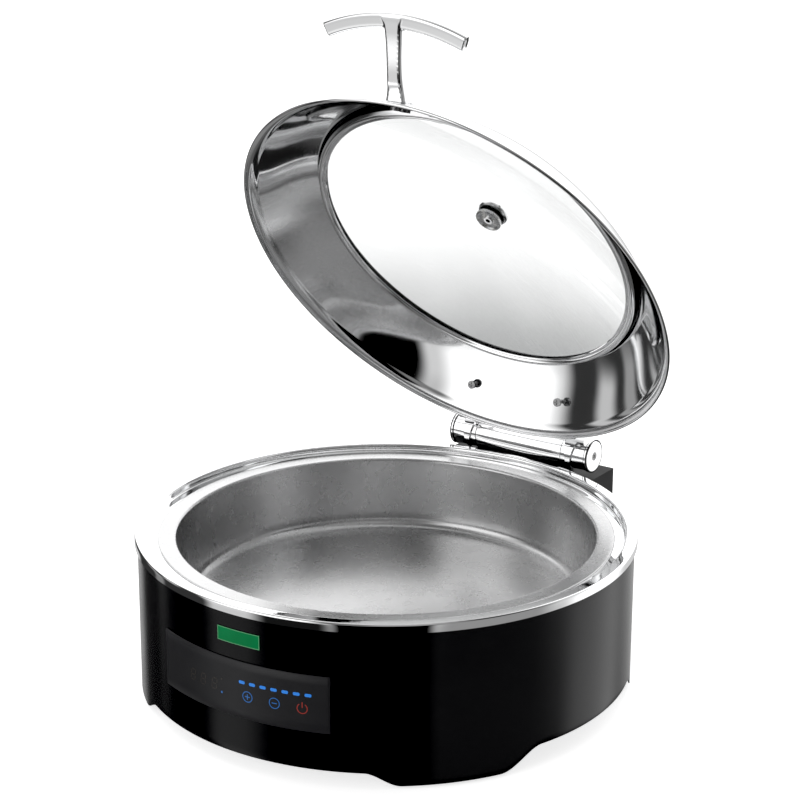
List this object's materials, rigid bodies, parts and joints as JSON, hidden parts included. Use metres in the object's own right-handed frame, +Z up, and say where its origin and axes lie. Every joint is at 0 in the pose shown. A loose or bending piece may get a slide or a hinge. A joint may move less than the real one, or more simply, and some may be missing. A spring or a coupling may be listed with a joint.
{
  "type": "electric buffet server",
  "caption": "Round electric buffet server: black base with touch panel, bright rim, lift-out food pan and a hinged polished lid with a domed glass window and bar handle.",
  "frame": {"origin": "on the axis of the round base, at the table plane its four feet stand on", "axes": "+Z up; the control panel faces -Y and the lid hinge is on the +Y side; +X is to the right of a person facing the panel"},
  "size_m": [0.4299, 0.473, 0.5788],
  "materials": {
    "black_enamel": "glossy black stoved enamel",
    "polished_steel": "mirror-polished stainless steel",
    "satin_steel": "satin stainless steel",
    "dark_steel": "black powder coat",
    "zinc_steel": "zinc-plated steel",
    "black_rubber": "matt",
    "panel_glass": "smoked panel, glossy",
    "black_plastic": "fine texture",
    "clear_plastic": "clear, light blue",
    "board_green": "solder mask",
    "green_label": "printed label",
    "white_plastic": "moulded nylon",
    "lacquered_core": "lacquered laminations",
    "cast_aluminium": "as cast",
    "element_sheath": "heat-tinted sheath",
    "ceramic_fibre": "pressed ceramic fibre board",
    "ceramic_white": "glazed steatite",
    "red_insulation": "silicone insulation",
    "window_glass": "clear toughened glass"
  },
  "bodies": {
    "base": {"outer_skirt": "black_enamel", "rim_ring": "polished_steel", "water_pan": "satin_steel", "food_pan": "satin_steel", "base_plate": "dark_steel", "base_plate_screws": "zinc_steel", "skirt_brackets": "zinc_steel", "rubber_feet": "black_rubber", "foot_screws": "zinc_steel", "control_panel": "panel_glass", "panel_frame": "black_plastic", "display_module": "black_plastic", "led_light_guides": "clear_plastic", "touch_springs": "zinc_steel", "control_board": "board_green", "name_badge": "green_label", "power_board": "board_green", "board_spacers": "white_plastic", "relay": "black_plastic", "transformer": "lacquered_core", "heating_plate": "cast_aluminium", "heating_element": "element_sheath", "insulation_disc": "ceramic_fibre", "clamp_plate": "zinc_steel", "clamp_nuts": "zinc_steel", "heat_shield": "satin_steel", "shield_spacers": "zinc_steel", "temperature_probe": "zinc_steel", "thermal_cutout": "black_plastic", "terminal_block": "ceramic_white", "power_inlet": "black_plastic", "inlet_screws": "zinc_steel", "heater_wiring": "red_insulation", "hinge_housing": "black_enamel", "hinge_bracket": "black_enamel", "bracket_screws": "zinc_steel", "hinge_barrel": "polished_steel", "hinge_bushings": "white_plastic", "hinge_damper": "black_plastic"},
    "lid": {"lid_shell": "polished_steel", "glass_window": "window_glass", "glass_seal": "black_rubber", "retaining_ring": "polished_steel", "vent_cap": "polished_steel", "vent_seal": "black_rubber", "vent_disc": "zinc_steel", "handle": "polished_steel", "handle_screws": "zinc_steel", "hinge_arm_left": "polished_steel", "hinge_arm_right": "polished_steel", "lid_hinge_screws": "zinc_steel", "hinge_shaft": "zinc_steel", "hinge_end_caps": "polished_steel", "cap_screws": "zinc_steel"}
  },
  "joints": [
    {"name": "lid_hinge", "type": "hinge", "parent": "base", "child": "lid", "pos_m": [0, 0.228, 0.151], "axis": [-1, 0, 0], "range_deg": [-56.8, 33.2]}
  ]
}
